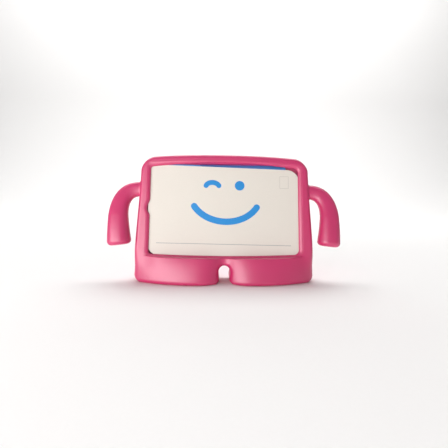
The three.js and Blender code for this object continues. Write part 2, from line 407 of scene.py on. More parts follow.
@dataclass(frozen=True)
class StudioPaper(Finish):
    """The plain pale sweep under and behind the case: uncoated paper, quite matt."""

    name: str = "studio_paper"  # the material's name
    colour: str = "#f7f6f5"  # of the paper
    shade: str = "#f4f3f2"  # of its darker grain
    grain_mm: float = 2.5  # the size of the grain

    def surface(self, place: bpy.types.NodeSocket) -> bpy.types.Node:
        """The paper's shader.

        Args:
            place: the sweep's own coordinates.

        Returns:
            The shader node.
        """
        tree, scale = place.id_data, MM_PER_METRE / self.grain_mm
        grain = node(tree, "ShaderNodeTexNoise", Vector=place, Scale=scale, Detail=3.0)
        tone = self.mottled(grain, linear(self.shade)).outputs["Result"]
        return node(tree, "ShaderNodeBsdfPrincipled", Base_Color=tone, Roughness=0.9)


# The moulded case


class Side(enum.Enum):
    """A side of the case, as seen from the front."""

    RIGHT = 1
    LEFT = -1


class Edge(enum.Enum):
    """Which face of the moulding an edge belongs to."""

    FRONT = 1
    BACK = -1


@dataclass(frozen=True)
class Shoulder:
    """How a foot rises below the line where it starts."""

    steep: float  # the length of the steep rise under the window
    gentle: tuple  # how far below the line the rise at the outer sides starts and ends
    turn: tuple  # how far from the middle the one turns into the other
    share: float = 0.7  # the part of the height that rises steeply
    slow: float = 38.0  # the length of the slow rise of the rest
    ease: float = 0.6  # how much faster than on average the slow rise starts

    def rise(self, u: np.ndarray, depth: np.ndarray) -> np.ndarray:
        """The share of its height that the foot has reached.

        The steep part is a quarter of an ellipse, the root of 1 less (1 - x) squared, and the slow
        part is x (1 + ease - ease x). Towards the outer sides both turn into one gentle rise.

        Args:
            u: places across the case.
            depth: the distances below the line.

        Returns:
            Shares from 0 to 1.
        """
        x = np.clip(depth / self.steep, 0, 1)
        slow = np.clip(depth / self.slow, 0, 1)
        ledge = self.share * np.sqrt(1 - (1 - x) ** 2)
        ledge = ledge + (1 - self.share) * slow * (1 + self.ease - self.ease * slow)
        outside = smoothstep(*self.turn, np.abs(u))
        return ledge * (1 - outside) + smoothstep(*self.gentle, depth) * outside


@dataclass
class CaseBody:
    """The padded frame with its lip and pocket, and the two feet.

    The surface is a stack of rings round the window. They run from the pocket's floor up its wall,
    under the lip and over its edge, across the bevel and the face, round the outer side and in over
    the back. Every ring has the same number of points, so that point i of all rings makes one
    section through the moulding.
    """

    thickness: float = 22.0  # of the frame
    top_half: float = 134.5  # half the frame's width at its upper corners
    base_half: float = 140.1  # half its width above the feet
    foot_half: float = 140.9  # half the width of the feet
    crown: float = 89.6  # the height of the frame's top at the middle
    crown_drop: float = 4.1  # how much lower its top is at the corners
    corner: float = 24.0  # the radius of the upper corners
    side_swell: float = 0.8  # how far the side walls swell between their ends
    side_start: float = -86.8  # the height at which the side walls start
    # the height of the soles, on the plane of the lip's face
    sole: float = -STANCE.height / math.cos(STANCE.lean)
    # the heights between which the feet go over to the slant of the level soles
    slant: tuple = (-104.0, -80.0)
    edge_radius: float = 6.0  # of the frame's outer edges
    sole_radius: float = 6.5  # of the edges round the soles
    # between which heights over the soles the one radius goes over into the other
    sole_reach: tuple = (24.0, 40.0)
    toe_radius: float = 7.5  # of the front edges at the outer sides of the feet
    toe_side: tuple = (125.0, 139.0)  # between which distances from the middle it sets in
    toe_top: tuple = (-98.0, -60.0)  # the heights between which it fades
    foot_corner: float = 11.0  # the radius of the feet's lower outer corners
    notch_offset: float = -0.4  # how far the notch is from the middle
    notch_roof: float = 26.4  # the height of its roof over the soles
    notch_arch: float = 18.0  # the width of its arch
    notch_neck: float = 16.0  # its width below the arch
    notch_flare: float = 6.5  # the radius at its lower corners
    notch_radius: float = 5.5  # of the front and back edges round it
    notch_reach: tuple = (24.0, 44.0)  # between which distances from its middle it fades
    # where its three stretches of points lie on the rings above it
    notch_stops: tuple = (17.0, 25.0, 33.0)
    # the toes' reach over the distance from the middle, two Bezier curves
    toes: tuple = (
        ((0, 4.5), (12, 4.5), (12, 20.6), (46, 20.6)),
        ((46, 20.6), (77, 20.6), (110, 12), (140, -5)),
    )
    toe_shoulder: Shoulder = Shoulder(2.0, (-14.0, 30.0), (100.0, 130.0))  # how the toes rise
    toe_lead: float = 0.3  # how far above the crease the rise starts
    # the heels' reach over the distance from the middle, as far as their crest
    heels: tuple = ((0, 15), (16, 15), (16, 19.95), (40, 19.95))
    # their reach over the distance from the outer side, from the crest down
    heel_fall: tuple = ((24, 19.95), (8, 19.95), (0, 10), (0, 0))
    heel_shoulder: Shoulder = Shoulder(7.5, (-0.5, 9.5), (112.0, 135.0))  # how the heels rise
    heel_top: float = -73.0  # the height at which the rise starts
    # half the window's width, and how far its corners are above and below
    window_half: tuple = (118.0, 69.1, 69.7)
    window_bows: tuple = (6.8, 2.6)  # how far its upper and lower edges bow outwards
    window_corner: tuple = (8.0, 5.0)  # the radius of its right and of its left corners
    window_shift: float = -0.6  # how far its middle is to the right
    # the same three sizes for the crease where the bevel meets the face
    crease_half: tuple = (124.0, 74.8, 72.0)
    crease_bows: tuple = (3.7, 3.3)  # how far the crease bows outwards above and below
    crease_corner: tuple = (10.0, 7.0)  # the radius of its corners
    bevel: float = 2.6  # the depth of the bevel
    bulge: float = 0.55  # how far the bevel bulges out
    lip: float = 4.0  # the thickness of the lip
    # the section of the lip's edge, as distances out of the window and depths
    lip_edge: tuple = ((0.4, -4.0), (0.12, -3.93), (0.0, -3.7), (0.05, -3.4), (0.3, -3.1))
    # the section of the crease, in the same way from the crease
    crease_edge: tuple = ((-0.45, -0.2), (-0.05, -0.05), (0.5, 0.0))
    pocket_half: tuple = (123.0, 75.1, 75.1)  # the same three sizes for the pocket
    pocket_corner: tuple = (9.0, 9.0)  # the radius of its corners
    pocket_floor: float = -11.9  # its depth below the lip's face
    # the section between floor and wall, as distances in from the wall and heights
    pocket_foot: tuple = ((1.5, 0.0), (0.44, 0.44), (0.0, 1.5))
    # the middle of the scallop in the lip, its reach above and below, and its depth
    scallop: tuple = (1.8, 14.5, 11.5, 4.4)
    scallop_share: float = 0.7  # how much of that depth the crease follows
    back_half: tuple = (118.0, 72.5, 72.5)  # the same three sizes for the plain middle of the back
    back_corner: tuple = (12.0, 12.0)  # the radius of its corners
    # how far from the crease, and from the back's middle, the close rings reach
    crowding: tuple = (5.2, 7.5)
    edge_rows: int = 9  # the rings round an outer edge
    side_rows: int = 8  # the steps from the front edge to the back one
    # the points along the eight stretches of half a ring
    counts: tuple = (14, 9, 10, 84, 18, 110, 26, 54)
    face_rows: int = 42  # the rings across the face
    back_rows: int = 28  # the rings across the back

    def toe(self, u: np.ndarray) -> np.ndarray:
        """How far the toes stand out of the lip's plane at places across the case."""
        path = np.concatenate([bezier(curve, 80) for curve in self.toes] + [self.toes[-1][-1:]])
        return np.interp(np.abs(u), path[:, 0], path[:, 1])

    def heel(self, u: np.ndarray) -> np.ndarray:
        """How far the heels stand out of the back, seen from above.

        Args:
            u: places across the case.

        Returns:
            The reach at each place. It ends just outside the feet, so that they keep their edge.
        """
        fall = bezier([(self.foot_half - x, reach) for x, reach in self.heel_fall], 80)
        ends = self.heels[-1:], [(self.foot_half + 0.01, 0.0)]
        path = np.concatenate([bezier(self.heels, 60), ends[0], fall, ends[1]])
        return np.interp(np.abs(u), path[:, 0], path[:, 1])

    def crease_low(self, u: np.ndarray) -> np.ndarray:
        """The height of the crease under the window, a parabola, at places across the case."""
        wide, _, low = self.crease_half
        return -low - self.crease_bows[1] * (1 - np.clip(np.abs(u) / wide, 0, 1) ** 2)

    def face(self, points: np.ndarray) -> np.ndarray:
        """The height of the front face: the toes' reach times their rise, which is 0 above them."""
        u, v = points[..., 0], points[..., 1]
        return self.toe(u) * self.toe_shoulder.rise(u, self.crease_low(u) - v + self.toe_lead)

    def back(self, points: np.ndarray) -> np.ndarray:
        """The height of the back, a negative number: the frame's, less the heels' reach."""
        u, v = points[..., 0], points[..., 1]
        return -self.thickness - self.heel(u) * self.heel_shoulder.rise(u, self.heel_top - v)

    def window_path(self, half: tuple, bows: tuple, radii: tuple) -> np.ndarray:
        """A ring like the window's edge: straight sides and long edges that bow outwards.

        It starts below the middle and runs anticlockwise, with as many points in each stretch as
        the outer ring has in its matching one.

        Args:
            half: half the width, and how far the corners are above and below.
            bows: how far the upper and lower edges bow out.
            radii: of the corners on the right and on the left.

        Returns:
            The ring's points.
        """
        (wide, top, low_side), (top_bow, low_bow) = half, bows
        halves = []
        for side, radius in zip(Side, radii):
            start = wide - radius
            offset = side.value * self.notch_offset
            stops = [0.0, *[stop + offset for stop in self.notch_stops], start]
            parts = []
            for near, far, count in zip(stops[:-1], stops[1:], self.counts[:4]):
                u = near + (far - near) * np.arange(count) / count
                parts.append(np.stack([u, -low_side - low_bow * (1 - (u / start) ** 2)], axis=1))
            bow = [(start, top), (start / 2, top + top_bow), (0, top + top_bow)]
            parts += [
                arc((start, radius - low_side), radius, -90, 0, self.counts[4]),
                bezier([(wide, radius - low_side), (wide, top - radius)], self.counts[5]),
                arc((start, top - radius), radius, 0, 90, self.counts[6]),
                bezier(bow, self.counts[7]),
                bow[-1:],
            ]
            halves.append(np.concatenate(parts) * (side.value, 1))
        return self.joined(*halves)

    @staticmethod
    def joined(right: np.ndarray, left: np.ndarray) -> np.ndarray:
        """One anticlockwise ring from its two halves, both from the bottom to the top."""
        return np.concatenate([right, left[1:-1][::-1]])

    def outer_path(self) -> np.ndarray:
        """The outer ring: round the notch, along the soles, up the sides and over the top.

        Returns:
            The ring's points.
        """
        counts, sole, foot, heel = self.counts, self.sole, self.foot_half, self.foot_corner
        radius, neck = self.notch_arch / 2, self.notch_neck / 2
        middle, flare = sole + self.notch_roof - radius, sole + self.notch_flare
        top, wide = self.crown - self.crown_drop, self.top_half
        bend = top - self.corner
        rise = bend - self.side_start
        low = bezier([(foot, sole + heel), (self.base_half, self.side_start)], 40)
        high = bezier(
            [
                (self.base_half, self.side_start),
                (self.base_half + self.side_swell, self.side_start + rise / 3),
                (wide + self.side_swell, bend - rise / 3),
                (wide, bend),
            ],
            200,
        )
        wall = np.concatenate([low, high, [(wide, bend)]])
        level = wall[0, 1] + (wall[-1, 1] - wall[0, 1]) * np.arange(counts[5]) / counts[5]
        corner = [
            (wide, bend),
            (wide, bend + self.corner / 2),
            (wide - self.corner / 2, top),
            (wide - self.corner, top),
        ]
        crown = [corner[-1], (wide / 2, self.crown), (0, self.crown)]
        halves = []
        for side in Side:
            offset = side.value * self.notch_offset
            toe = neck + self.notch_flare + offset
            throat = [
                (offset + radius, middle),
                (offset + radius, middle * 0.6 + flare * 0.4),
                (neck + offset, middle * 0.4 + flare * 0.6),
                (neck + offset, flare),
            ]
            parts = [
                arc((offset, middle), radius, 90, 0, counts[0]),
                bezier(throat, counts[1]),
                arc((toe, flare), self.notch_flare, 180, 270, counts[2]),
                bezier([(toe, sole), (foot - heel, sole)], counts[3]),
                arc((foot - heel, sole + heel), heel, -90, 0, counts[4]),
                np.stack([np.interp(level, wall[:, 1], wall[:, 0]), level], axis=1),
                bezier(corner, counts[6]),
                bezier(crown, counts[7]),
                crown[-1:],
            ]
            halves.append(np.concatenate(parts) * (side.value, 1))
        ring = self.joined(*halves)
        ring[0] = (self.notch_offset, middle + radius)
        return ring

    def edge_rings(self, outer: np.ndarray, edge: Edge) -> tuple:
        """Rounds the outer edge between a face and the side.

        Each section is a rational quadratic curve. It starts on the face, one radius in from the
        side, goes towards the point where the face's slope would meet the side, and ends upright.
        A middle weight of the root of a half makes it a circle where the face is level.

        Args:
            outer: the outer ring.
            edge: the front or the back.

        Returns:
            The ring on the face where the rounding starts, and the rings from there to the side.
        """
        probe, steepest = 0.4, 2.0  # how far in the face's slope is read, and its limit
        normal = loop_normals(outer)
        u, v = outer[:, 0], outer[:, 1]
        low = 1 - smoothstep(*self.sole_reach, v - self.sole)
        radius = self.edge_radius + (self.sole_radius - self.edge_radius) * low
        if edge is Edge.FRONT:
            side = smoothstep(*self.toe_side, np.abs(u)) * (1 - smoothstep(*self.toe_top, v))
            radius = radius + (self.toe_radius - radius) * side
        near_notch = 1 - smoothstep(*self.notch_reach, np.abs(u - self.notch_offset))
        radius = radius + (self.notch_radius - radius) * near_notch * low
        height = self.face if edge is Edge.FRONT else self.back
        sign = edge.value
        start = outer - normal * radius[:, None]
        level = height(start)
        slope = np.clip(sign * (height(start - normal * probe) - level) / probe, 0, steepest)
        corner = level - sign * radius * slope
        end = corner - sign * radius
        t = np.linspace(0, 1, self.edge_rows)[:, None]
        weights = (1 - t) ** 2, 2 * t * (1 - t) * math.sqrt(0.5), t**2
        total = sum(weights)
        inset = weights[0] * radius / total
        depth = (weights[0] * level + weights[1] * corner + weights[2] * end) / total
        return start, at_depth(outer - normal * inset[..., None], depth)

    @staticmethod
    def between(inner: np.ndarray, start: np.ndarray, bend: float, count: int) -> np.ndarray:
        """Flat rings that fill the band between two rings without crossing.

        A coarse grid starts as straight sections. Each round moves every point to the mean of its
        neighbours that the smooth grid equation asks for: a x_ss - 2 b x_st + c x_tt = 0, where s
        runs round the ring and t across the band, a is x_t times x_t, b is x_s times x_t and c is
        x_s times x_s. The rings wanted are then read off along the sections. They lie close
        together near the inner ring, where the shoulders of the feet rise.

        Args:
            inner: the inner ring.
            start: the ring where the rounding of the outer edge starts.
            bend: how far from the inner ring the close rings reach.
            count: the number of steps from ring to ring.

        Returns:
            The rings, without the two that they lie between.
        """
        # The coarse grid's steps, the rounds, and how much of its way a point moves in a round
        steps, rounds, pull = 12, 900, 0.8
        # The close rings' largest part of the band, their part of all rings, and their power
        widest, close_share, crowding = 0.45, 0.42, 1.7
        grid = inner + (start - inner) * (np.arange(steps + 1) / steps)[:, None, None]
        for _ in range(rounds):
            after, before = np.roll(grid, -1, axis=1), np.roll(grid, 1, axis=1)
            round_ring = (after - before)[1:-1] / 2
            across = (grid[2:] - grid[:-2]) / 2
            a = (across**2).sum(-1, keepdims=True)
            b = (across * round_ring).sum(-1, keepdims=True)
            c = (round_ring**2).sum(-1, keepdims=True)
            mixed = (after[2:] - after[:-2] - before[2:] + before[:-2]) / 4
            mean = a * (after + before)[1:-1] + c * (grid[2:] + grid[:-2]) - 2 * b * mixed
            grid[1:-1] += pull * (mean / (2 * (a + c)) - grid[1:-1])
        pieces = np.linalg.norm(np.diff(grid, axis=0), axis=-1)
        span = pieces.sum(0)
        near = np.minimum(bend, widest * span) / span
        close = int(count * close_share)
        step = np.arange(1, count)[:, None]
        far = near[None] + (1 - near[None]) * (step - close) / (count - close)
        share = np.where(step < close, near[None] * (step / close) ** crowding, far)
        passed = np.concatenate([np.zeros((1, len(inner))), np.cumsum(pieces, axis=0)]) / span
        below = (share[:, None] >= passed[None, 1:-1]).sum(1)
        column = np.arange(len(inner))[None]
        low, high = passed[below, column], passed[below + 1, column]
        part = ((share - low) / (high - low))[..., None]
        return grid[below, column] * (1 - part) + grid[below + 1, column] * part

    def level_soles(self, points: np.ndarray) -> np.ndarray:
        """Slants the lower part of the feet so that the soles are level when the screen leans.

        A point moves down by its height over the lip's plane times the tangent of the lean, and
        the share of that grows from nothing under the window to the whole at the soles.

        Args:
            points: rows of u, v and w.

        Returns:
            The slanted points.
        """
        share = 1 - smoothstep(*self.slant, points[..., 1])
        moved = points.copy()
        moved[..., 1] -= points[..., 2] * math.tan(STANCE.lean) * share
        return moved

    def scallop_bite(self, ring: np.ndarray, half: float) -> np.ndarray:
        """How far the scallop cuts into the lip: a bell, 1 less t squared and that squared.

        Args:
            ring: a ring like the window's edge.
            half: half its width.

        Returns:
            The depth of the cut at each point, which is 0 away from the left side.
        """
        middle, above, below, depth = self.scallop
        t = (ring[:, 1] - middle) / np.where(ring[:, 1] > middle, above, below)
        return depth * np.clip(1 - t**2, 0, 1) ** 2 * (ring[:, 0] < 1 - half)

    def pocket_rings(self, window: np.ndarray) -> list:
        """The rings from the pocket's floor up its wall and out under the lip.

        Args:
            window: the window's ring.

        Returns:
            The rings, up to the lip's edge.
        """
        soft = 0.4  # the small rounding of the wall's upper corner and of the lip's lower one
        pocket = self.window_path(self.pocket_half, (0.0, 0.0), self.pocket_corner)
        inward = -loop_normals(pocket)
        under, edge = pocket + inward * soft, window + loop_normals(window) * soft
        rings = []
        for inset, lift in self.pocket_foot:
            rings.append(at_depth(pocket + inward * inset, self.pocket_floor + lift))
        rings += [at_depth(pocket, depth) for depth in (-9.0, -6.5, -self.lip - soft)]
        for share in (0.0, 0.35, 0.7):
            rings.append(at_depth(under + (edge - under) * share, -self.lip))
        return rings

    def build(self) -> bpy.types.Object:
        """Builds the body as one closed mesh.

        Returns:
            The body.
        """
        window = self.window_path(self.window_half, self.window_bows, self.window_corner)
        crease = self.window_path(self.crease_half, self.crease_bows, self.crease_corner)
        window[:, 0] += self.window_shift - self.scallop_bite(window, self.window_half[0])
        crease[:, 0] -= self.scallop_share * self.scallop_bite(crease, self.crease_half[0])
        outward, crease_outward = loop_normals(window), loop_normals(crease)
        rings = self.pocket_rings(window)
        rings += [at_depth(window + outward * out, depth) for out, depth in self.lip_edge]
        for share in (0.2, 0.4, 0.6, 0.8):
            depth = self.bulge * math.sin(math.pi * share) - self.bevel * (1 - share)
            rings.append(at_depth(window + (crease - window) * share, depth))
        rings += [at_depth(crease + crease_outward * out, depth) for out, depth in self.crease_edge]

        outer = self.outer_path()
        start, rounded = self.edge_rings(outer, Edge.FRONT)
        back_start, back_rounded = self.edge_rings(outer, Edge.BACK)
        flat = self.between(rings[-1][:, :2], start, self.crowding[0], self.face_rows)
        rings += [*at_depth(flat, self.face(flat)), *rounded]
        front_edge, back_edge = rounded[-1][:, 2], back_rounded[-1][:, 2]
        for share in np.arange(1, self.side_rows) / self.side_rows:
            rings.append(at_depth(outer, front_edge + (back_edge - front_edge) * share))
        centre = self.window_path(self.back_half, (0.0, 0.0), self.back_corner)
        flat = self.between(centre, back_start, self.crowding[1], self.back_rows)[::-1]
        rings += [*back_rounded[::-1], *at_depth(flat, self.back(flat))]
        rings.append(at_depth(centre, -self.thickness))
        LOG.info("body: %d rings of %d points", len(rings), len(outer))
        return closed_rings("moulded_case_soft", self.level_soles(np.array(rings)))


@dataclass
class Arm:
    """One arm: it leaves the side wall round, bends down and swells into a blunt hand."""

    side: Side  # the right or the left arm
    wall: float = 136.7  # how far out the side wall is
    buried: float = 10.0  # how far inside it the arm starts
    middle: float = -11.0  # the depth of the root's middle
    root_height: float = 32.5  # the height of the root
    reach: float = 30.1  # how far the arm reaches out
    bend: float = 0.82  # the share of the reach at which it starts to bend down
    drop: float = 88.4  # how far the hand's end is below the root
    elbow: float = 0.5  # the share of the drop at which the arm is straight down
    inset: float = 3.5  # how far the hand turns back in
    forward: float = 11.0  # how far the hand comes forward
    # the shares of that above the elbow, at the elbow and below it
    lead: tuple = (0.45, 0.85, 1.08)
    root: tuple = (23.0, 15.0)  # the width and the depth of the root
    hand: tuple = (35.8, 33.0)  # the width and the depth of the hand
    swell: float = 1.15  # the power with which the one grows into the other along the arm
    end_radius: float = 7.0  # of the hand's edge
    end_insets: tuple = (8.0, 11.5, 15.0)  # how far in the rings across the hand's end are
    end_lifts: tuple = (0.15, 0.25, 0.3)  # how far they stand out of it
    weld: float = 2.0  # the radius with which the arm runs into the wall
    weld_start: float = 9.4  # how far along the arm that widening starts to fade
    weld_rings: tuple = (6.0, 18.0)  # where the close rings round it start and end
    # the power of the sine and cosine in its section, where 1 is an ellipse and less is squarer
    squareness: float = 0.82
    around: int = 72  # points round the arm
    steps: int = 96  # rings along it

    def route(self) -> np.ndarray:
        """The arm's centreline, evenly sampled.

        Returns:
            Rows of u, v and w for a right arm.
        """
        top, elbow, end = (self.root_height - s * self.drop for s in (0, self.elbow, 1))

        def at(u: float, v: float, share: float) -> tuple:
            """A point beside the wall, with its share of the way forward."""
            return (self.wall + u, v, self.middle + share * self.forward)

        root, bent = at(0, top, 0), at(self.reach, elbow, self.lead[1])
        hand = at(self.reach - self.inset, end, 1)
        out = at(self.reach * self.bend, top, 0)
        over = at(self.reach + self.inset / 3, (top + elbow) / 2, self.lead[0])
        under = at(self.reach - self.inset / 3, (elbow + end) / 2, self.lead[2])
        start = bezier([at(-self.buried, top, 0), root], 40)
        upper, lower = bezier([root, out, over, bent], 300), bezier([bent, under, hand], 200)
        path = np.concatenate([start, upper, lower, [hand]])
        steps = np.concatenate([[0], np.cumsum(np.linalg.norm(np.diff(path, axis=0), axis=1))])
        return read_off(np.linspace(0, steps[-1], 600), steps, path)

    def build(self) -> bpy.types.Object:
        """Builds the arm as a closed mesh of rings along its route.

        Returns:
            The arm.
        """
        path = self.route()
        length = np.linalg.norm(np.diff(path, axis=0), axis=1).sum()
        straight = length - self.end_radius
        angle = np.linspace(0, math.pi / 2, 10)[1:]
        weld_start, weld_end = self.weld_rings
        stretches = [
            [0.0, weld_start / 2],
            np.linspace(weld_start, weld_end, 22),
            np.linspace(weld_end, straight, self.steps)[1:],
            straight + self.end_radius * np.sin(angle),
            np.full(3, length),
        ]
        distance = np.concatenate(stretches)
        inset = np.zeros(len(distance))
        inset[-12:] = [*self.end_radius * (1 - np.cos(angle)), *self.end_insets]
        place = np.clip(distance / length, 0, 1) * (len(path) - 1)
        index = np.arange(len(path))
        centre, heading = (read_off(place, index, t) for t in (path, np.gradient(path, axis=0)))
        heading /= np.linalg.norm(heading, axis=1, keepdims=True)
        centre[-3:] += heading[-3:] * np.array(self.end_lifts)[:, None]
        across = np.cross(heading, (0.0, 0.0, 1.0))
        across /= np.linalg.norm(across, axis=1, keepdims=True)
        deep = np.cross(across, heading)
        swell = np.clip((distance - self.buried) / (length - self.buried), 0, 1) ** self.swell
        gap = np.clip(distance - self.weld_start, 0, self.weld)
        weld = self.weld - np.sqrt(self.weld**2 - (self.weld - gap) ** 2)
        width = (self.root[0] + (self.hand[0] - self.root[0]) * swell) / 2 + weld - inset
        depth = (self.root[1] + (self.hand[1] - self.root[1]) * swell) / 2 + weld / 4 - inset
        turn = -2 * math.pi * np.arange(self.around) / self.around
        circle = np.cos(turn), np.sin(turn)
        aside, ahead = (np.sign(x) * np.abs(x) ** self.squareness for x in circle)
        rings = (
            centre[:, None]
            + across[:, None] * (width[:, None] * aside)[..., None]
            + deep[:, None] * (depth[:, None] * ahead)[..., None]
        )
        if self.side is Side.LEFT:
            rings = rings[:, ::-1] * (-1, 1, 1)
        return closed_rings("arm", rings)


@dataclass
class ControlOpenings:
    """The holes for the tablet's rear camera, charging port and side buttons."""

    middle: float = -7.95  # the depth of the tablet's middle
    back: float = -22.0  # the depth of the back
    camera: tuple = (-107.0, 59.1)  # the place of the camera hole's axis
    camera_radius: float = 8.0  # its radius
    mouth: float = 2.5  # the radius of the holes' rounded mouths
    port: tuple = (7.5, 3.3, -12.0)  # half the port's length and width, and its height
    # where its cut starts, where the side wall is, and how far past it the cut ends
    port_walls: tuple = (122.0, 138.1, 1.6)
    # half the button slot's length and width, and its place across the case
    slot: tuple = (26.0, 3.3, -66.0)
    slot_walls: tuple = (74.1, 88.5, 2.0)  # the same three for the slot and the top

    def flared(self, loop: np.ndarray, low: float, high: float, tip: float) -> tuple:
        """A cutter that widens at its upper end like a rounded mouth.

        Args:
            loop: the hole's outline, anticlockwise.
            low: where the cutter starts.
            high: where the wall's face is.
            tip: how far the cutter goes past it.

        Returns:
            Three arrays of rings: the two numbers of the outline, and the distance along the hole.
        """
        angle = np.linspace(0, math.pi / 2, 9)
        out = np.concatenate([[0.0], self.mouth * (1 - np.cos(angle)), [self.mouth * 1.02]])
        mouth = high - self.mouth * (1 - np.sin(angle))
        along = np.concatenate([[low], mouth, [high + tip]])
        flat = loop + loop_normals(loop) * out[:, None, None]
        return tuple(np.moveaxis(at_depth(flat, along[:, None]), -1, 0))

    @staticmethod
    def slot_loop(half_long: float, half_wide: float) -> np.ndarray:
        """An oblong with round ends, anticlockwise and longest along its first axis.

        Args:
            half_long: half its length.
            half_wide: half its width.

        Returns:
            The outline's points.
        """
        straight = half_long - half_wide
        right = arc((straight, 0), half_wide, -90, 90, 24)
        left = arc((-straight, 0), half_wide, 90, 270, 24)
        top = bezier([(straight, half_wide), (-straight, half_wide)], 12)
        low = bezier([(-straight, -half_wide), (straight, -half_wide)], 12)
        return np.concatenate([right, top, left, low])

    def build(self) -> list:
        """Builds the three cutters.

        Returns:
            The cutters.
        """
        circle = arc((0, 0), self.camera_radius, 0, 360, 64)
        x, y, along = self.flared(circle, -self.middle, -self.back, 1.0)
        camera = self.camera[0] - x, self.camera[1] + y, -along
        x, y, along = self.flared(self.slot_loop(*self.port[:2]), *self.port_walls)
        port = along, self.port[2] + x, self.middle + y
        x, y, along = self.flared(self.slot_loop(*self.slot[:2]), *self.slot_walls)
        slot = self.slot[2] + x, along, self.middle - y
        named = ("camera", camera), ("port", port), ("slot", slot)
        return [closed_rings(name, np.stack(rings, axis=-1)) for name, rings in named]


@dataclass
class MouldedCase:
    """The whole moulding: the body, the arms and the openings for the controls."""

    body: CaseBody = field(default_factory=CaseBody)  # the frame with the feet
    # the two arms
    arms: tuple = field(
        default_factory=lambda: (
            Arm(Side.RIGHT, root_height=31.3, reach=30.0, drop=87.4, hand=(34.4, 33.0)),
            Arm(Side.LEFT, reach=29.6, inset=4.1),
        )
    )
    openings: ControlOpenings = field(default_factory=ControlOpenings)  # the holes for the controls
    foam: MouldedFoam = MouldedFoam()  # what it is moulded of
    crisp: float = 50.0  # the angle above which an edge is shaded sharp, in degrees

    def build(self) -> bpy.types.Object:
        """Builds and dresses the moulding.

        Returns:
            The finished piece.
        """
        piece = self.body.build()
        combine(piece, [arm.build() for arm in self.arms], Step.WELD)
        combine(piece, self.openings.build(), Step.CUT)
        piece.data.set_sharp_from_angle(angle=math.radians(self.crisp))
        piece.data.materials.clear()
        piece.data.materials.append(self.foam.build())
        LOG.info("moulded case: %d faces", len(piece.data.polygons))
        return piece


# The display card


class Flap(enum.Enum):
    """A flap of the card, by the edge of the face that it hangs on."""

    UPPER = 1
    LOWER = -1


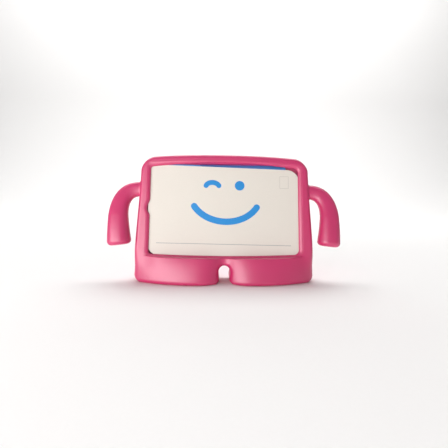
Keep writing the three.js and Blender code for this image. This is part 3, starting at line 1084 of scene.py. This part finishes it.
@dataclass
class DisplayCard:
    """The folded card in the pocket: a printed face and the flaps behind it."""

    # the face's corners, anticlockwise from the lower right one. It sits a little askew
    corners: tuple = ((119.0, -74.5), (119.8, 66.1), (-122.4, 72.4), (-120.2, -71.3))
    radii: tuple = (12.0, 20.0, 14.0, 16.5)  # how far each of them is rounded
    thickness: float = 0.6  # of the board
    face: float = -4.3  # the depth of its face below the lip's face
    wall: float = 74.8  # the height of the pocket's upper wall, with a small gap
    rest: float = -11.5  # the depth at which the flaps end
    flap_span: tuple = (0.055, 0.91)  # the shares of the face's edge between which a flap hangs
    flap_back: tuple = (0.5, 0.25)  # how far its rear side is from its front, inwards and in depth
    ink_lift: float = 0.03  # the thickness of the ink

    def outline(self) -> np.ndarray:
        """The face's outline: its corners, each replaced by a quarter turn.

        The turn is a cubic Bezier curve whose handles reach 0.5523 of the way to the corner, which
        is close to a circle.

        Returns:
            The outline's points, anticlockwise.
        """
        handle = 0.5523
        corners = np.array(self.corners)
        before, after = np.roll(corners, 1, axis=0), np.roll(corners, -1, axis=0)
        turns = []
        for corner, back, ahead, radius in zip(corners, before, after, self.radii):
            start = corner + (back - corner) * radius / np.linalg.norm(back - corner)
            end = corner + (ahead - corner) * radius / np.linalg.norm(ahead - corner)
            handles = [start, start + (corner - start) * handle, end + (corner - end) * handle, end]
            turns += [bezier(handles, 24), [end]]
        return np.concatenate(turns)

    def face_piece(self) -> bpy.types.Object:
        """The face, a thin closed sheet with soft edges.

        Returns:
            The face.
        """
        outline = self.outline()
        normal = loop_normals(outline)
        edge = (0.2, -self.thickness), (0.0, -0.4), (0.0, -0.2), (0.12, 0.0), (0.5, 0.0)
        rings = [at_depth(outline - normal * inset, self.face + depth) for inset, depth in edge]
        return closed_rings("card_face", np.array(rings), smooth=False)

    def flap(self, flap: Flap) -> bpy.types.Object:
        """A flap folded back along the face's upper or lower edge.

        Its section is a strip that leaves the face, bends round the fold and runs to the pocket's
        wall.

        Args:
            flap: which of the two.

        Returns:
            The flap.
        """
        low_right, high_right, high_left, low_left = np.array(self.corners)
        upper = flap is Flap.UPPER
        left, right = (high_left, high_right) if upper else (low_left, low_right)
        share = np.linspace(*self.flap_span, 60)[:, None]
        edge = left * (1 - share) + right * share
        foot = np.stack([edge[:, 0], np.full(len(edge), flap.value * self.wall)], axis=1)
        shares = np.array([0.0, 0.04, 0.12, 0.5, 1.0])[:, None]
        dips = np.array([0.02, 0.25, 0.8, 3.4, self.face - self.rest])[:, None]
        sheet = at_depth(edge + (foot - edge) * shares[..., None], self.face - dips)
        inward, deeper = self.flap_back
        under = sheet - (0.0, flap.value * inward, deeper)
        rings = np.moveaxis(np.concatenate([sheet, under[::-1]]), 0, 1)
        if upper:
            rings = rings[:, ::-1]
        return closed_rings(f"card_flap_{flap.name.lower()}", rings, smooth=False)

    def ink(self, name: str, outline: np.ndarray) -> bpy.types.Object:
        """A printed shape with an anticlockwise outline, as a skin of ink on the face."""
        rings = [at_depth(outline, self.face + depth) for depth in (0.0, self.ink_lift)]
        return closed_rings(name, np.array(rings), smooth=False)

    def ink_frame(self, name: str, outline: np.ndarray, width: float) -> bpy.types.Object:
        """A printed line round a small empty box.

        Args:
            name: the piece's name.
            outline: the corners of the box, anticlockwise.
            width: the line's width.

        Returns:
            The printed line.
        """
        inner = outline + np.sign(outline.mean(0) - outline) * width
        lift = self.ink_lift
        loops = (outline, 0.0), (outline, lift), (inner, lift), (inner, 0.0)
        points = np.concatenate([at_depth(loop, self.face + depth) for loop, depth in loops])
        quads = grid_quads(5, len(outline)) % len(points)
        return make_object(name, STANCE.to_row(points), [quads], smooth=False)

    @staticmethod
    def stroke(path: np.ndarray, width: float) -> np.ndarray:
        """The outline of a pen stroke with round ends along a path.

        Args:
            path: the stroke's middle line.
            width: the stroke's width.

        Returns:
            The outline, anticlockwise.
        """
        along = np.gradient(path, axis=0)
        along /= np.linalg.norm(along, axis=1, keepdims=True)
        right = np.stack([along[:, 1], -along[:, 0]], axis=1) * width / 2
        angle = np.linspace(0, math.pi, 20)[1:-1, None]
        cap_end = path[-1] + right[-1] * np.cos(angle) + along[-1] * width / 2 * np.sin(angle)
        cap_start = path[0] - right[0] * np.cos(angle) - along[0] * width / 2 * np.sin(angle)
        return np.concatenate([path + right, cap_end, (path - right)[::-1], cap_start])

    def build(self) -> list:
        """Builds and dresses the card.

        Returns:
            Its pieces, the face first.
        """
        board = PaperBoard("white_coated_board", "#eae4da").build()
        blue = PaperBoard("blue_printed_board", "#5aa0ea").build()
        ink = PaperBoard("blue_ink", "#2f93dc", 0.45).build()
        grey = PaperBoard("grey_ink", "#a9acab", 0.5).build()
        faint = PaperBoard("faint_grey_ink", "#cfc9c0", 0.5).build()
        smile = bezier([(-49.0, 5.8), (-26.7, -26.1), (29.8, -27.3), (51.4, 5.8)], 90)
        wink = bezier([(-30.6, 39.2), (-27.1, 46.2), (-13.6, 45.9), (-9.9, 38.7)], 40)
        rule = bezier([(-107.0, -52.7), (112.4, -55.8)], 30)
        box = np.array([(87.8, 35.9), (102.4, 36.0), (102.5, 55.9), (87.9, 55.8)])
        dressed = [
            (self.face_piece(), board),
            (self.flap(Flap.UPPER), blue),
            (self.flap(Flap.LOWER), blue),
            (self.ink("print_smile", self.stroke(smile, 10.3)), ink),
            (self.ink("print_wink", self.stroke(wink, 8.1)), ink),
            (self.ink("print_dot", arc((23.3, 39.6), 7.8, 0, 360, 60)), ink),
            (self.ink("print_rule", self.stroke(rule, 0.8)), grey),
            (self.ink_frame("print_frame", box, 0.6), faint),
        ]
        for piece, finish in dressed:
            piece.data.materials.append(finish)
        return [piece for piece, _ in dressed]


# Stage


@dataclass(frozen=True)
class SoftLight:
    """A soft rectangular light."""

    name: str  # its name
    place: tuple  # where it is, in metres
    target: tuple  # the point it faces
    size: tuple  # its width and height
    watts: float  # its power
    colour: str = "#fffdfd"  # its colour

    def build(self) -> None:
        """Adds the light to the scene."""
        light = bpy.data.lights.new(self.name, "AREA")
        light.shape = "RECTANGLE"
        light.size, light.size_y = self.size
        light.energy = self.watts
        light.color = linear(self.colour)[:3]
        lamp = bpy.data.objects.new(self.name, light)
        lamp.location = self.place
        facing = Vector(self.target) - Vector(self.place)
        lamp.rotation_euler = facing.to_track_quat("-Z", "Y").to_euler()
        bpy.context.scene.collection.objects.link(lamp)


@dataclass
class Studio:
    """The sweep of pale paper, the lights and the camera."""

    # one soft light at the left in front, and one over the paper behind
    lights: tuple = (
        SoftLight("window_left", (-0.62, -0.84, 0.13), (-0.05, 0.0, 0.08), (1.0, 0.4), 9.3),
        SoftLight("over_paper", (0.0, 1.3, 3.2), (0.0, 1.9, 0.6), (5.0, 2.0), 115.0, "#ffffff"),
    )
    # the strength of the soft light from all round, at the horizon and overhead
    world: tuple = (0.31, 0.25)
    half_width: float = 9.0  # half the width of the sweep, in metres
    bend_start: float = 1.6  # how far behind the case it starts to curve up
    bend: float = 1.2  # the radius of its curve
    # the camera's yaw and pitch round the screen, and its roll, in radians
    turn: tuple = (-0.0331, -0.0992, 0.0093)
    distance: float = 473.28  # how far the camera is from the window's middle, in millimetres
    picture: float = 448.0  # the photograph's width, in pixels
    focal: float = 300.0  # the camera's focal length, in pixels
    # how far the picture's middle is off the camera's axis, in pixels
    shift: tuple = (-1.08, -14.18)

    def build(self) -> None:
        """Builds the stage and sets the scene's camera."""
        self.sweep()
        for light in self.lights:
            light.build()
        self.surroundings()
        self.camera()

    def sweep(self) -> None:
        """A floor that curves up behind the case into an upright wall."""
        angle = np.linspace(0, math.pi / 2, 25)
        front, back = [-9.0, -6.0, -3.5, -2.0, -1.0, 0.0, 0.8], self.bend_start + self.bend
        x = np.linspace(-self.half_width, self.half_width, 37)
        y = np.concatenate([front, self.bend_start + self.bend * np.sin(angle), [back, back]])
        z = np.concatenate([np.zeros(len(front)), self.bend * (1 - np.cos(angle)), [2.6, 4.5]])
        points = np.stack(np.broadcast_arrays(x[None, :], y[:, None], z[:, None]), axis=-1)
        quads = grid_quads(*points.shape[:2], closed=False)
        sweep = make_object("studio_sweep", points.reshape(-1, 3), [quads], smooth=True)
        sweep.data.materials.append(StudioPaper().build())

    def surroundings(self) -> None:
        """A white world that is a little stronger at the horizon than overhead."""
        world = bpy.data.worlds.new("soft_light")
        world.use_nodes = True
        tree = world.node_tree
        way = node(tree, "ShaderNodeTexCoord").outputs["Generated"]
        height = node(tree, "ShaderNodeSeparateXYZ", Vector=way).outputs["Z"]
        horizon, overhead = self.world
        level = node(tree, "ShaderNodeMapRange", Value=height, To_Min=horizon, To_Max=overhead)
        background = tree.nodes["Background"]
        background.inputs["Color"].default_value = (1, 1, 1, 1)
        tree.links.new(level.outputs["Result"], background.inputs["Strength"])
        bpy.context.scene.world = world
        bpy.context.scene.view_settings.view_transform = "Standard"

    def camera(self) -> None:
        """The camera, placed as the photograph's was."""
        yaw, pitch, roll = self.turn
        level = math.cos(pitch)
        away = np.array([math.sin(yaw) * level, math.sin(pitch), math.cos(yaw) * level])
        right = np.array([math.cos(yaw), 0.0, -math.sin(yaw)])
        up = np.cross(away, right)
        turned_right = right * math.cos(roll) + up * math.sin(roll)
        turned_up = up * math.cos(roll) - right * math.sin(roll)
        axes = Matrix([STANCE.direction(axis) for axis in (turned_right, turned_up, away)])
        place = Vector(STANCE.to_row(away * self.distance))
        lens = bpy.data.cameras.new("camera")
        lens.sensor_width = 36.0
        lens.lens = self.focal / self.picture * lens.sensor_width
        lens.shift_x, lens.shift_y = (shift / self.picture for shift in self.shift)
        lens.clip_start, lens.clip_end = 0.01, 50.0
        camera = bpy.data.objects.new("camera", lens)
        camera.matrix_world = Matrix.Translation(place) @ axes.transposed().to_4x4()
        bpy.context.scene.collection.objects.link(camera)
        bpy.context.scene.camera = camera


def main() -> None:
    """Builds the looks, dresses them and stages the scene."""
    logging.basicConfig(level=logging.INFO, format="%(name)s: %(message)s")
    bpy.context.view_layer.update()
    case = MouldedCase().build()
    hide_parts("moulded_case")
    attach(case, "root")
    card = DisplayCard().build()
    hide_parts("display_card")
    for piece in card:
        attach(piece, "root")
        LOG.info("%s: %d faces", piece.name, len(piece.data.polygons))
    Studio().build()


if __name__ == "__main__":
    main()
